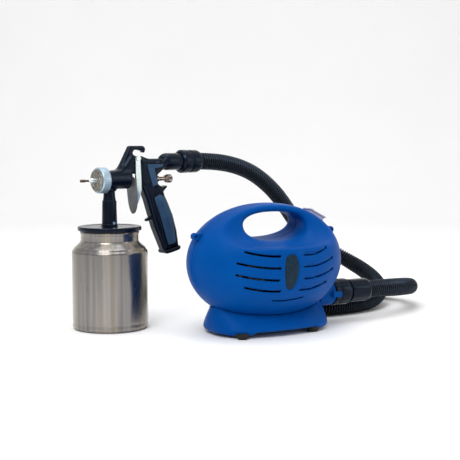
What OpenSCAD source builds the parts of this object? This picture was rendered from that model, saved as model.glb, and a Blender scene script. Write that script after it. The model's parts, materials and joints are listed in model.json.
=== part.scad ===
// HVLP paint sprayer: suction-cup spray gun, corrugated air hose and turbine blower.
// Millimetres, +Z up.  The origin is the centre of the paint cup's base.
// The gun points along -X; the blower has its own frame: u along its length, v across it.

/* [Paint cup] */
// Outside radius of the cup
cup_r = 50; // [45:1:52]
// Height of the cup's rim
cup_h = 128.5; // [128.5:0.5:128.5]
// Outside radius of the cup's neck
cup_neck_r = 38; // [37:0.5:39]
// Thickness of the cup's wall
cup_wall = 1.4; // [1:0.1:2]
// Radius of the screw lid
lid_r = 42; // [41:0.5:44]

/* [Spray gun] */
// Height of the needle's axis above the cup's base
axis_z = 195.5; // [195:0.5:196]
// Radius of the barrel
barrel_r = 12; // [11.5:0.1:12.5]
// Radius of the retaining ring at the nozzle
ring_r = 17; // [16.5:0.1:18]
// Half width of the cast body
body_half = 9; // [8.5:0.1:9]
// Half width of the handle
handle_half = 11.5; // [11:0.1:12]
// Height of the air inlet's axis
inlet_z = 218.7; // [218:0.1:219]
// Outside radius of the air inlet tube
inlet_r = 11.8; // [11.5:0.1:11.8]

/* [Trigger] */
// Position of the pivot along the gun
pivot_x = 39; // [38.5:0.1:39.5]
// Height of the pivot
pivot_z = 224; // [223.5:0.1:224.5]
// Thickness of the trigger's sheet metal
trigger_t = 1.6; // [1.4:0.1:1.8]

/* [Hose] */
// Outside diameter of the corrugated hose
hose_d = 24; // [22:1:24]

/* [Blower] */
// Half length of the egg-shaped casing
egg_a = 108; // [106:1:110]
// Radius of the casing at its middle
egg_r = 76; // [75:0.5:77]
// Height of the casing's axis
egg_z = 91; // [90:0.5:92]
// Wall thickness of the casing
wall = 3; // [2.5:0.1:3.5]
// Half width of the carrying handle
grip_half = 21; // [20:0.5:23]
// Half length of the handle's opening
hole_a = 47; // [44:1:48]
// Half height of the handle's opening
hole_b = 18; // [16:0.5:18]
// Turn of the blower about Z, in degrees
blower_yaw = -10; // [-12:1:-8]
// Height of the air outlet's axis
port_z = 41; // [40.5:0.5:43]

/* [Hidden] */
$fn = 48;

run = 0.05;                    // radial clearance of a running fit
blower_x = 147;
blower_y = -143;
hole_u = 2;                    // centre of the handle's opening
hole_z = 138;
split_z = 116;                 // the handle's own shell begins here
scoop_r = 45;                  // hollows beside the handle
scoop_z = 160;
base_u = -6;                   // middle of the base, feet, vents and badges
motor_z = 75;
port_end = 169;
lug_u = 103.5;
lug_z = 127.5;
gland_u = -48;
gland_z = 48;
cuff_x = 150;
boss_x = 2.5;                  // the boss under the barrel, clear of the retaining ring
black = [0.05, 0.06, 0.08];
blue = [0.01, 0.29, 0.63];
steel = [0.72, 0.73, 0.72];
brass = [0.75, 0.62, 0.36];
rubber = [0.06, 0.06, 0.06];
copper = [0.72, 0.4, 0.2];

// ---- shared helpers ---------------------------------------------------------------------------

// A round bar along X from x0 to x1
module bar_x(x0, x1, r, z = axis_z, y = 0) {
    translate([x0, y, z]) rotate([0, 90, 0]) cylinder(h = x1 - x0, r = r);
}

// A hollow bar along X
module pipe_x(x0, x1, r_out, r_in, z = axis_z) {
    difference() {
        bar_x(x0, x1, r_out, z);
        bar_x(x0 - 1, x1 + 1, r_in, z);
    }
}

// A turned part along X from points [x, r] in rising x
module turned_x(points, z = axis_z) {
    translate([0, 0, z]) rotate([0, 90, 0])
        rotate_extrude($fn = 64) polygon([for (p = points) [p[1], p[0]]]);
}

// A side profile in X and Z, half_w wide each way
module side_plate(points, half_w) {
    translate([0, half_w, 0]) rotate([90, 0, 0]) linear_extrude(2 * half_w) polygon(points);
}

module place_blower() {
    translate([blower_x, blower_y, 0]) rotate([0, 0, blower_yaw]) children();
}

// Points of a superellipse with half axes a and b
function superellipse(a, b, p, n) = [for (i = [0 : n - 1]) let (t = 360 * i / n)
    [a * sign(cos(t)) * pow(abs(cos(t)), 2 / p), b * sign(sin(t)) * pow(abs(sin(t)), 2 / p)]];

// ---- spray gun --------------------------------------------------------------------------------

arm_profile = [[-5, 205], [14, 209], [18, 214], [31, 240], [51, 240.5], [56, 237], [56.5, 233],
               [53.5, 232], [50.5, 235.5], [38, 235.5], [34.5, 229], [35, 227.5], [48, 226.5],
               [60, 222.6], [80, 222.6], [80, 190], [74, 184], [60, 188], [46, 190], [44, 203],
               [30, 203], [26, 196], [-5, 196]];
handle_profile = [[46, 192], [57, 167], [70, 128.5], [84.5, 97], [110, 102.4], [106.2, 123.5],
                  [99.5, 145], [91, 164], [86, 176], [92, 184.5], [84, 184], [80, 190], [80, 222],
                  [46, 222]];
hook_profile = [[61, 141], [57, 137], [60, 135], [66, 139], [68, 142], [62, 146]];

module gun_body() {
    color(black) difference() {
        union() {
            bar_x(-5, 29, barrel_r);
            bar_x(-14, -5, 13);
            side_plate(arm_profile, body_half);
            side_plate(handle_profile, body_half);
            side_plate(hook_profile, 2.5);
            bar_x(76, 84, 11, inlet_z);
            bar_x(68, 82, 7.5);
            translate([boss_x, 0, 181]) cylinder(h = 8, r = 7);
        }
        // air passages
        bar_x(-15, 20, 8);
        bar_x(17, 86, 4, 209);
        translate([17, 0, axis_z]) cylinder(h = 13.5, r = 4);
        bar_x(82, 90, 9.5, inlet_z);
        // needle, packing nut, spring chamber and knob thread
        bar_x(18, 52, 1.5 + run);
        bar_x(24, 30, 4);
        bar_x(52, 90, 4.5);
        // pivot bore and paint passage
        translate([pivot_x, 20, pivot_z]) rotate([90, 0, 0]) cylinder(h = 40, r = 2);
        translate([0, 0, 175]) cylinder(h = 15, r = 3);
        // window that the needle crosses between the barrel and the handle
        translate([29, -20, 180]) cube([17.5, 40, 23]);
    }
}

inlay_profile = [[67, 171.6], [81, 172.4], [86.5, 165], [91, 157.2], [97.2, 139.5], [100.8, 120],
                 [102, 110.5], [100.8, 106.8], [90.5, 104.6], [81.3, 128.9], [74.4, 150.3]];

module grip_inlays() {
    color([0.12, 0.17, 0.25]) difference() {
        side_plate(inlay_profile, handle_half);
        translate([0, body_half, 0]) rotate([90, 0, 0]) linear_extrude(2 * body_half) square(300);
    }
}

module handle_end_cap() {
    cap_profile = [[84.5, 96.9], [86, 92.5], [111.5, 97.8], [110, 102.3]];
    color(black) side_plate(cap_profile, handle_half - 1);
}

module trigger() {
    strap = [[35.5, 228], [42.5, 228], [44.5, 184], [42, 174], [39.5, 180], [37, 196]];
    blade = [[32.2, 198], [33.8, 198], [36, 186], [37, 172], [37.4, 160], [38.8, 150.5],
             [37.2, 149.5], [35.6, 160], [35, 172], [34, 186]];
    color(steel) difference() {
        union() {
            for (side = [-1, 1])
                translate([0, side * (body_half + 0.3 + trigger_t / 2), 0])
                    side_plate(strap, trigger_t / 2);
            intersection() {
                side_plate(blade, 10.9);
                // the tongue's rounded lower end
                translate([20, 0, 0]) rotate([90, 0, 90]) linear_extrude(30) union() {
                    translate([0, 160.4]) circle(r = 10.9);
                    translate([-10.9, 160.4]) square([21.8, 38]);
                }
            }
            for (side = [-1, 1])
                translate([0, side * (body_half + 0.3 + trigger_t / 2), 0])
                    side_plate([[33, 196], [38, 197], [43, 181], [36.5, 176], [35, 186]], trigger_t / 2);
        }
        translate([pivot_x, 20, pivot_z]) rotate([90, 0, 0]) cylinder(h = 40, r = 2 + run);
        bar_x(30, 40, 3);
    }
}

module trigger_pivot_screw() {
    color(steel) difference() {
        union() {
            translate([pivot_x, 12.2, pivot_z]) rotate([90, 0, 0]) cylinder(h = 24, r = 2);
            translate([pivot_x, -11.2, pivot_z]) rotate([90, 0, 0]) cylinder(h = 1.6, r = 3.4);
        }
        translate([pivot_x - 3, -13, pivot_z - 0.4]) cube([6, 0.7, 0.8]);
    }
}

module pivot_circlip() {
    color(steel) translate([pivot_x, 12, pivot_z]) rotate([90, 0, 0]) difference() {
        cylinder(h = 0.7, r = 3.6);
        translate([0, 0, -1]) cylinder(h = 3, r = 2);
    }
}

module air_cap() {
    color([0.7, 0.69, 0.64]) difference() {
        turned_x([[-20.5, 0], [-20.5, 13.8], [-19.6, 14.85], [-16, 14.85], [-16, 15.7],
                  [-14.1, 15.7], [-14.1, 0]]);
        bar_x(-22, -13, 3.9);
        for (a = [0 : 60 : 300]) rotate_about_axis(a) bar_x(-22, -13, 0.9, axis_z + 7);
        for (a = [0, 180]) rotate_about_axis(a + 30) bar_x(-22, -13, 1.4, axis_z + 11);
    }
}

// Turns its children about the needle's axis
module rotate_about_axis(a) {
    translate([0, 0, axis_z]) rotate([a, 0, 0]) translate([0, 0, -axis_z]) children();
}

module air_cap_ring() {
    color([0.72, 0.8, 0.88]) difference() {
        turned_x([[-18.5, 0], [-18.5, ring_r - 1], [-17.5, ring_r], [-5.6, ring_r],
                  [-5.1, ring_r - 0.5], [-5.1, 0]]);
        bar_x(-20, -15, 15);
        bar_x(-16.2, -13.9, 15.9);
        bar_x(-15, 0, 13 + run);
        for (a = [0 : 15 : 345]) rotate_about_axis(a) bar_x(-15, -4, 0.6, axis_z + ring_r + 0.2);
    }
}

module fluid_nozzle() {
    color(brass) difference() {
        turned_x([[-44, 0], [-44, 1.6], [-43.2, 1.9], [-37.5, 1.9], [-37, 1.4], [-31, 1.4],
                  [-26, 3.5], [-14, 3.5], [-13.9, 8], [-6, 8], [-6, 4], [4, 4], [4, 0]]);
        bar_x(-45, -26, 0.9);
        bar_x(-26.5, 5, 1.5 + run);
    }
}

module needle() {
    color(steel)
        turned_x([[-29, 0], [-28.5, 0.7], [-26.6, 0.75], [-25.5, 1.5], [35.4, 1.5], [35.4, 4.2],
                  [37.4, 4.2], [37.4, 1.5],
                  [64, 1.5], [64, 3.9], [66, 3.9], [66, 0]]);
}

module needle_packing_nut() {
    color(brass) difference() {
        union() {
            bar_x(24, 29, 4);
            translate([29, 0, axis_z]) rotate([0, 90, 0]) cylinder(h = 2.5, r = 5, $fn = 6);
        }
        bar_x(20, 35, 1.5 + run);
    }
}

module needle_spring() {
    color(steel) pipe_x(66, 76, 3.8, 2.6);
}

module fluid_knob() {
    color([0.62, 0.56, 0.5]) difference() {
        turned_x([[76, 0], [76, 4.5 - run], [84, 4.5 - run], [84, 2.8], [90, 2.8], [91, 4.6],
                  [94, 5.9], [100, 5.9], [101.5, 4.6], [101.5, 0]]);
        for (a = [0 : 20 : 340]) rotate_about_axis(a) bar_x(93.4, 100.4, 0.45, axis_z + 6);
    }
}

module air_inlet_tube() {
    color(black) difference() {
        turned_x([[84, 0], [84, 9.8], [87.5, inlet_r], [115.9, inlet_r], [115.9, 0]], inlet_z);
        bar_x(80, 120, 9, inlet_z);
    }
}

module gun_hose_cuff() {
    color(black) pipe_x(116, cuff_x, 12, 9, inlet_z);
}

module gun_hose_collar() {
    color(black) difference() {
        turned_x([[112.5, 0], [112.5, 14.8], [113.7, 16.1], [119.5, 16.1], [120.5, 14.7],
                  [140, 14.7], [147.5, 13], [147.5, 0]], inlet_z);
        bar_x(110, 150, 12 + run, inlet_z);
        for (a = [0 : 30 : 330])
            translate([0, 0, inlet_z]) rotate([a, 0, 0]) translate([0, 0, -inlet_z])
                bar_x(122, 139, 0.9, inlet_z + 15.1);
    }
}

// ---- paint cup --------------------------------------------------------------------------------

module neck_tube() {
    color(black) difference() {
        union() {
            translate([0, 0, 135.2]) cylinder(h = 41, r1 = 10, r2 = 9.3);
            translate([boss_x, 0, 176]) cylinder(h = 5, r = 7);
        }
        translate([0, 0, 130]) cylinder(h = 60, r = 3);
        translate([0, -5, 139.5]) rotate([90, 0, 0]) cylinder(h = 20, r = 1.4);
    }
}

module neck_screw() {
    color(steel) translate([0, -5, 139.5]) rotate([90, 0, 0]) {
        cylinder(h = 5, r = 1.4);
        translate([0, 0, 5]) cylinder(h = 1, r = 1.9);
    }
}

module cup_lid() {
    color(black) difference() {
        rotate_extrude($fn = 96) polygon([[0, 122], [34, 122], [34, 129.6], [lid_r - 0.8, 129.6],
            [lid_r, 130.4], [lid_r, 134], [lid_r - 1.2, 135.2], [0, 135.2]]);
        translate([0, 0, 118]) cylinder(h = 8, r = 31);
        translate([0, 0, 110]) cylinder(h = 30, r = 3.05);
        translate([20, 0, 110]) cylinder(h = 30, r = 1);
    }
}

module cup_gasket() {
    color(rubber) difference() {
        translate([0, 0, 128.6]) cylinder(h = 1, r = 38.6, $fn = 96);
        translate([0, 0, 120]) cylinder(h = 20, r = 34.1, $fn = 96);
    }
}

// Outline of the cup's outside, from the base to the rim
function cup_outline(inset) = concat(
    [[0, inset], [cup_r - 5, inset]],
    [for (a = [-60 : 30 : 0]) [cup_r - 5 + (5 - inset) * cos(a), 5 + (5 - inset) * sin(a)]],
    [[cup_r - inset, 103], [cup_r - inset - 1.2, 105.5]],
    [for (a = [0 : 15 : 60]) [cup_neck_r + 10 - inset - 10 * sin(a * 1.5), 106.5 + 12 * sin(a)]],
    [[cup_neck_r - inset, 120], [cup_neck_r - inset, cup_h - 3 * (inset > 0 ? 0 : 1)]]);

module cup() {
    color([0.76, 0.73, 0.68]) difference() {
        union() {
            rotate_extrude($fn = 96) polygon(concat(cup_outline(0), [[0, cup_h - 3]]));
            translate([0, 0, cup_h - 3]) cylinder(h = 3, r = cup_neck_r + 0.9, $fn = 96);
        }
        rotate_extrude($fn = 96) polygon(concat(cup_outline(cup_wall), [[0, cup_h]]));
        translate([0, 0, cup_h - 4]) cylinder(h = 5, r = cup_neck_r - cup_wall, $fn = 96);
    }
}

module pickup_tube() {
    color(steel) difference() {
        translate([0, 0, 9]) cylinder(h = 126.2, r = 3);
        translate([0, 0, 5]) cylinder(h = 140, r = 2.1);
        translate([-4, -4, 8]) rotate([0, 20, 0]) translate([0, 0, -3]) cube([12, 8, 3.5]);
    }
}

// ---- hose -------------------------------------------------------------------------------------

// Free hose: out of the gun, down behind the blower, round one loop on the floor and up to the port
hose_drop = [[150, 0, 218.7], [186, 1, 217.5], [224, 3, 211], [256, 5, 200], [285, 8, 184],
             [312, 12, 165], [336, 16, 143], [358, 19, 119], [383, 19, 98], [409, 10, 80],
             [430, -11, 63], [440, -43, 48], [436, -76, 35], [418, -105, 24], [390, -123, 16],
             [357, -132, 12]];
hose_loop_centre = [316, -36];
hose_loop_z = 12;
function hose_loop_r(a) = 95 + 52 * pow(a / 275, 1.5);
hose_loop = [for (a = [0 : 25 : 275]) [hose_loop_centre[0] + hose_loop_r(a) * cos(-85 - a),
    hose_loop_centre[1] + hose_loop_r(a) * sin(-85 - a), hose_loop_z]];
hose_return = [[469, -69, 14], [466, -102, 20], [448, -137, 28], [416, -164, 35], [370, -177, 40]];
port_tip = [blower_x + port_end * cos(blower_yaw), blower_y + port_end * sin(blower_yaw), port_z];
hose_route = concat(hose_drop, hose_loop, hose_return, [port_tip]);

function unit(v) = v / norm(v);
function tangent(p, i) = i == 0 ? [1, 0, 0] :
    i == len(p) - 1 ? [-cos(blower_yaw), -sin(blower_yaw), 0] : unit(p[i + 1] - p[i - 1]);
hose_sides = 12;
function hose_ring(p, i) = let (t = tangent(p, i), s = unit(cross(t, [0, 0, 1])), n = cross(s, t))
    [for (k = [0 : hose_sides - 1]) let (a = 360 * k / hose_sides)
        p[i] + hose_d / 2 * (cos(a) * s + sin(a) * n)];

module hose_tube() {
    rings = len(hose_route);
    points = [for (i = [0 : rings - 1]) each hose_ring(hose_route, i)];
    walls = [for (i = [0 : rings - 2], k = [0 : hose_sides - 1]) let (m = (k + 1) % hose_sides)
        [i * hose_sides + k, i * hose_sides + m, (i + 1) * hose_sides + m, (i + 1) * hose_sides + k]];
    first = [for (k = [hose_sides - 1 : -1 : 0]) k];
    last = [for (k = [0 : hose_sides - 1]) (rings - 1) * hose_sides + k];
    color(black) polyhedron(points, concat(walls, [first, last]));
}

module port_bar(u0, u1, r) {
    place_blower() bar_x(u0, u1, r, port_z);
}

module blower_hose_cuff() {
    color(black) difference() {
        port_bar(134, port_end - run, 12);
        port_bar(130, 175, 9.5);
    }
}

module blower_hose_collar() {
    color(black) difference() {
        place_blower() turned_x([[134.3, 0], [134.3, 15], [135.3, 16], [163, 16], [167, 14.5],
                                 [167, 0]], port_z);
        port_bar(130, 175, 12 + run);
    }
}

module port_connector() {
    color(black) difference() {
        place_blower() turned_x([[104, 0], [104, 17], [105, 18], [129, 18], [130, 17],
                                 [130, 14.2], [134, 14.2], [134, 0]], port_z);
        port_bar(100, 140, 9.5);
        place_blower() translate([112, -24, port_z - 4.2]) cube([10, 8, 8.4]);
    }
}

// ---- blower casing ----------------------------------------------------------------------------

// The egg-shaped form, d inside the outer surface
module egg(d = 0) {
    steps = 24;
    p = 2.1;
    translate([0, 0, egg_z]) rotate([0, 90, 0]) rotate_extrude($fn = 96)
        polygon([for (i = [0 : steps]) let (t = 180 * i / steps)
            [(egg_r - d) * pow(sin(t), 2 / p),
             -(egg_a - d) * sign(cos(t)) * pow(abs(cos(t)), 2 / p)]]);
}

// Hollows that pinch the casing in below the carrying handle
module scoops(d = 0) {
    for (side = [-1, 1])
        bar_x(-130, 130, scoop_r + d, scoop_z, side * (grip_half + scoop_r));
}

module handle_hole(d = 0) {
    translate([hole_u, 100, hole_z]) rotate([90, 0, 0]) linear_extrude(200)
        polygon(superellipse(hole_a + d, hole_b + d, 2.3, 40));
}

module casing_outside() {
    difference() {
        egg();
        scoops();
        handle_hole();
    }
}

module casing_inside() {
    difference() {
        egg(wall);
        scoops(wall);
        handle_hole(wall);
    }
}

// Vents: [inner u from the middle, outer u, inner height, outer height]
vents = [[17, 58, 105, 111], [17, 68, 90, 97.5], [18, 69, 75, 83], [14, 58, 60.5, 67]];
vent_w = 2.6;

module vent_slot(u0, z0, u1, z1) {
    angle = atan2(z1 - z0, u1 - u0);
    translate([u0, 90, z0]) rotate([90, 0, 0]) linear_extrude(180) rotate(angle) union() {
        length = norm([u1 - u0, z1 - z0]);
        translate([0, -vent_w / 2]) square([length, vent_w]);
        circle(d = vent_w, $fn = 24);
        translate([length, 0]) circle(d = vent_w, $fn = 24);
    }
}

module vent_cuts() {
    for (v = vents, side = [-1, 1])
        vent_slot(base_u + side * v[0], v[2], base_u + side * v[1], v[3]);
    vent_slot(base_u - 20, 48, base_u + 22, 48);
}

module badge_prism(d = 0) {
    translate([base_u, 0, 0]) rotate([90, 0, 0]) linear_extrude(180, center = true)
        polygon([for (p = superellipse(11 - d, 23 - d, 2.6, 32))
            [p[0] * (p[1] < 0 ? 1 + 0.012 * p[1] : 1), 84 + p[1]]]);
}

screw_spots = [[-82, 68], [-82, 106], [84, 72], [84, 104]];

module screw_posts(r) {
    for (s = screw_spots)
        translate([s[0], 0, s[1]]) rotate([90, 0, 0]) cylinder(h = 130, r = r, center = true);
}

module casing_shell() {
    difference() {
        casing_outside();
        difference() {
            casing_inside();
            screw_posts(6.5);
        }
        vent_cuts();
        badge_prism();
        bar_x(70, 130, 17.2, port_z);
        switch_place() translate([-12.5, -8.2, -30]) cube([25, 16.4, 40]);
        translate([gland_u, 40, gland_z]) rotate([-90, 0, 0]) {
            cylinder(h = 30, r = 6);
            translate([0, 0, 16.9]) cylinder(h = 30, r = 7.6);
        }
    }
}

// Everything above the line where the handle's shell sits on the two halves
module handle_zone() {
    translate([-150, -150, split_z]) cube([300, 300, 200]);
}

module shell_near() {
    color(blue) place_blower() difference() {
        casing_shell();
        handle_zone();
        translate([-150, 0, -10]) cube([300, 150, 250]);
        for (s = screw_spots)
            translate([s[0], 0, s[1]]) rotate([90, 0, 0]) cylinder(h = 24, r = 1.8, center = true);
    }
}

module shell_far() {
    color(blue) place_blower() difference() {
        casing_shell();
        handle_zone();
        translate([-150, -150, -10]) cube([300, 150, 250]);
        for (s = screw_spots) translate([s[0], 0, s[1]]) rotate([-90, 0, 0]) {
            translate([0, 0, -1]) cylinder(h = 60, r = 1.8);
            translate([0, 0, 12]) cylinder(h = 90, r = 4);
        }
    }
}

module handle_shell() {
    color(blue) place_blower() intersection() {
        casing_shell();
        handle_zone();
    }
}

module shell_screws() {
    color(steel) place_blower() for (s = screw_spots)
        translate([s[0], 0, s[1]]) rotate([-90, 0, 0]) difference() {
            union() {
                translate([0, 0, -11.5]) cylinder(h = 23.6, r = 1.75);
                translate([0, 0, 12.05]) cylinder(h = 2.2, r = 3.6);
            }
            translate([-2.5, -0.4, 13.4]) cube([5, 0.8, 2]);
            translate([-0.4, -2.5, 13.4]) cube([0.8, 5, 2]);
        }
}

// The base: a plinth with steep ends and a spreading foot, d inside the outer surface
module base_form(d) {
    levels = [[7, 84, 57], [14, 80, 43], [43, 77, 22]];
    translate([base_u + 4, 0, 0]) for (i = [0, 1]) hull() {
        for (level = [levels[i], levels[i + 1]])
            translate([0, 0, level[0]]) linear_extrude(1)
                polygon(superellipse(level[1] - d, level[2] - d, 2.6, 32));
    }
}

module base_skirt() {
    color(blue) place_blower() difference() {
        base_form(0);
        egg();
        difference() {
            base_form(3);
            translate([-150, -100, 0]) cube([300, 200, 11]);
        }
        feet_holes();
        bar_x(60, 130, 17.3, port_z);
    }
}

module feet_holes() {
    for (su = [-1, 1], sv = [-1, 1])
        translate([base_u + su * 53, sv * 43, 0]) cylinder(h = 14, r = 2.5);
}

module rubber_feet() {
    color(rubber) place_blower() for (su = [-1, 1], sv = [-1, 1])
        translate([base_u + su * 53, sv * 43, 0]) {
            rotate_extrude() polygon([[0, 0], [6, 0], [7.6, 1.5], [8, 4], [8, 7], [0, 7]]);
            translate([0, 0, 7]) cylinder(h = 5, r = 2.45);
        }
}

module side_badges() {
    color([0.16, 0.22, 0.25]) place_blower() intersection() {
        difference() {
            egg(0.8);
            egg(wall);
        }
        badge_prism(0.15);
    }
}

// Lugs for a shoulder strap, one at each end of the casing
module strap_lugs() {
    color(blue) place_blower() for (side = [-1, 1]) difference() {
        translate([side * lug_u, 0, lug_z]) rotate([90, 0, 0]) union() {
            cylinder(h = 9, r = 4.6, center = true);
            translate([side > 0 ? -20 : 0, -4, -4.5]) cube([20, 8, 9]);
        }
        translate([side * lug_u, 0, lug_z]) rotate([90, 0, 0]) cylinder(h = 20, r = 2, center = true);
        egg();
    }
}

module outlet_stub() {
    color(blue) place_blower() difference() {
        union() {
            bar_x(79, 104, 17, port_z);
            translate([100, -21.5, port_z - 4]) cube([12, 5, 8]);
        }
        bar_x(76, 110, 13, port_z);
        bar_x(104, 140, 18.2, port_z);
    }
}

// The switch lies on the sloping top of the casing's rear end
module switch_place() {
    translate([78, 0, 150]) rotate([0, 27, 0]) children();
}

module switch_bezel() {
    color([0.75, 0.77, 0.8]) place_blower() switch_place() difference() {
        union() {
            translate([-12.3, -8, -16]) cube([24.6, 16, 17]);
            translate([-14, -9.5, 0]) cube([28, 19, 2]);
        }
        translate([-9.9, -5.6, -8]) cube([19.8, 11.2, 20]);
    }
}

module switch_rocker() {
    color([0.85, 0.85, 0.87]) place_blower() switch_place() rotate([90, 0, 0]) {
        linear_extrude(10.8, center = true)
            polygon([[-8.6, -1], [8.6, -1], [8.6, 1], [0, 2.8], [-8.6, 4.2]]);
        cylinder(h = 11.1, r = 1.5, center = true);
    }
}

// ---- inside the blower ------------------------------------------------------------------------

module motor_bar(u0, u1, r) {
    place_blower() bar_x(u0, u1, r, motor_z);
}

module motor_pipe(u0, u1, r_out, r_in) {
    place_blower() pipe_x(u0, u1, r_out, r_in, motor_z);
}

module rotor_shaft() { color(steel) motor_bar(-62, 44, 4); }

module impeller() {
    color(steel) {
        motor_pipe(-60, -45.5, 8, 4);
        motor_pipe(-48, -46, 34, 8);
        place_blower() for (a = [0 : 45 : 315])
            translate([-58, 0, motor_z]) rotate([a, 0, 0]) translate([0, 7, -0.8])
                cube([11, 26, 1.6]);
    }
}

module rotor_core() { color([0.5, 0.4, 0.32]) motor_pipe(-18, 18, 16, 4); }

module commutator() { color(copper) motor_pipe(21, 30, 9, 4); }

module stator_core() { color([0.45, 0.45, 0.47]) motor_pipe(-24, 20, 27, 17); }

module carbon_brushes() {
    color([0.15, 0.15, 0.16]) place_blower() for (side = [-1, 1])
        translate([23, side * 17.2 - 8, motor_z - 3]) cube([5, 16, 6]);
}

module front_bearing() { color(steel) motor_pipe(-32, -26, 11, 4 + run); }

module rear_bearing() { color(steel) motor_pipe(34, 40, 11, 4 + run); }

module turbine_housing() {
    color([0.6, 0.6, 0.62]) difference() {
        motor_bar(-62, -24, 39);
        motor_bar(-60.5, -44, 37);
        motor_bar(-70, -60, 14);
        motor_bar(-46, -31.9, 26);
        motor_bar(-32, -26, 11);
        motor_bar(-40, -20, 6);
        place_blower() for (a = [0 : 60 : 300])
            translate([0, 0, motor_z]) rotate([a, 0, 0]) bar_x(-34, -20, 4, 20);
    }
}

module motor_end_bell() {
    color([0.6, 0.6, 0.62]) {
        motor_pipe(20, 44, 29, 26);
        motor_pipe(33, 41, 14, 11);
        place_blower() for (a = [0 : 90 : 270])
            translate([34, 0, motor_z]) rotate([a + 45, 0, 0]) translate([0, -3, 13.5])
                cube([6, 6, 13.5]);
    }
}

module motor_mount_rings() {
    color(rubber) {
        motor_pipe(-56, -50, 42.5, 39);
        motor_pipe(30, 36, 33, 29);
    }
}

module air_duct() {
    color(black) place_blower() difference() {
        bar_x(71, 103.5, 12.9, port_z);
        bar_x(60, 106, 10.5, port_z);
    }
}

module air_filter() {
    color([0.3, 0.3, 0.3]) motor_bar(-74, -66, 30);
}

module mains_gland() {
    color(rubber) place_blower() translate([gland_u, 42, gland_z]) rotate([-90, 0, 0]) difference() {
        union() {
            cylinder(h = 16, r = 5.9);
            translate([0, 0, 15]) cylinder(h = 8, r1 = 7.5, r2 = 6);
        }
        translate([0, 0, -1]) cylinder(h = 40, r = 3.2);
    }
}

// ---- the nodes --------------------------------------------------------------------------------

gun_body();
grip_inlays();
handle_end_cap();
trigger();
trigger_pivot_screw();
pivot_circlip();
air_cap();
air_cap_ring();
fluid_nozzle();
needle();
needle_packing_nut();
needle_spring();
fluid_knob();
air_inlet_tube();
neck_tube();
neck_screw();
cup_lid();
cup_gasket();
cup();
pickup_tube();
gun_hose_cuff();
gun_hose_collar();
hose_tube();
blower_hose_cuff();
blower_hose_collar();
port_connector();
outlet_stub();
shell_near();
shell_far();
handle_shell();
base_skirt();
rubber_feet();
side_badges();
shell_screws();
strap_lugs();
switch_bezel();
switch_rocker();
rotor_shaft();
impeller();
rotor_core();
commutator();
stator_core();
carbon_brushes();
front_bearing();
rear_bearing();
turbine_housing();
motor_end_bell();
motor_mount_rings();
air_duct();
air_filter();
mains_gland();
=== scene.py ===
import json
import math

import bmesh
import bpy
import numpy as np
import openvdb
from mathutils import Matrix, Vector


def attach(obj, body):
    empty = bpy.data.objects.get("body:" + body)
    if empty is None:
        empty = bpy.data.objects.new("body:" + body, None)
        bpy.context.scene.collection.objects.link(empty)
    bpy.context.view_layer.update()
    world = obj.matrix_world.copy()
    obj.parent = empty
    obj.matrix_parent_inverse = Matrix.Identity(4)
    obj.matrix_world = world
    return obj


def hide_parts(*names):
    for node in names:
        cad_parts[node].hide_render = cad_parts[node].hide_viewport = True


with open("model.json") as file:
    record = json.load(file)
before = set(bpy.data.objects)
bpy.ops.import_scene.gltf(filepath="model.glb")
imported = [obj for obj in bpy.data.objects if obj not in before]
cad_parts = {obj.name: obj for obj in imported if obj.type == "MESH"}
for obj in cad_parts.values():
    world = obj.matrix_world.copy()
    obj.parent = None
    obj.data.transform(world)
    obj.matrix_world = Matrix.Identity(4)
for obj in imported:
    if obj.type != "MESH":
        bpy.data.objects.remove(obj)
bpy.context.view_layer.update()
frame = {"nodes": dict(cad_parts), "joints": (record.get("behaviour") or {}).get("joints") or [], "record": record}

# Every shape below is worked out in millimetres and becomes metres in add_piece().
MM = 0.001
joints = {joint["name"]: joint for joint in frame["joints"]}

GUN_Z = joints["ring_turn"]["pos_m"][2] / MM
INLET_Z = joints["gun_collar_turn"]["pos_m"][2] / MM
PIVOT = Vector(joints["trigger_pull"]["pos_m"]) / MM
MOTOR = Vector(joints["rotor_spin"]["pos_m"]) / MM
PORT_Z = joints["blower_collar_turn"]["pos_m"][2] / MM
YAW = math.atan2(joints["rotor_spin"]["axis"][1], joints["rotor_spin"]["axis"][0])

GUN_AXIS = Matrix.Translation((0, 0, GUN_Z))
INLET_AXIS = Matrix.Translation((0, 0, INLET_Z))
BLOWER = Matrix.Translation((MOTOR.x, MOTOR.y, 0)) @ Matrix.Rotation(YAW, 4, "Z")
PORT_AXIS = BLOWER @ Matrix.Translation((0, 0, PORT_Z))
UPRIGHT = Matrix.Rotation(-math.pi / 2, 4, "Y")     # turns a lathe's X axis up to Z


# ---- camera ------------------------------------------------------------------------------------

CAMERA_AT = (-0.72423, -1.11051, 0.24729)
CAMERA_TURN = math.radians(-40)
CAMERA_DIP = math.radians(5.1)
CAMERA_LENS = 78.26


def make_camera():
    data = bpy.data.cameras.new("camera")
    data.lens = CAMERA_LENS
    data.sensor_width = 36
    data.clip_end = 20
    camera = bpy.data.objects.new("camera", data)
    bpy.context.scene.collection.objects.link(camera)
    camera.location = CAMERA_AT
    camera.rotation_euler = (math.pi / 2 - CAMERA_DIP, 0, CAMERA_TURN)
    bpy.context.scene.camera = camera


make_camera()


# ---- materials ---------------------------------------------------------------------------------

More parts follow.
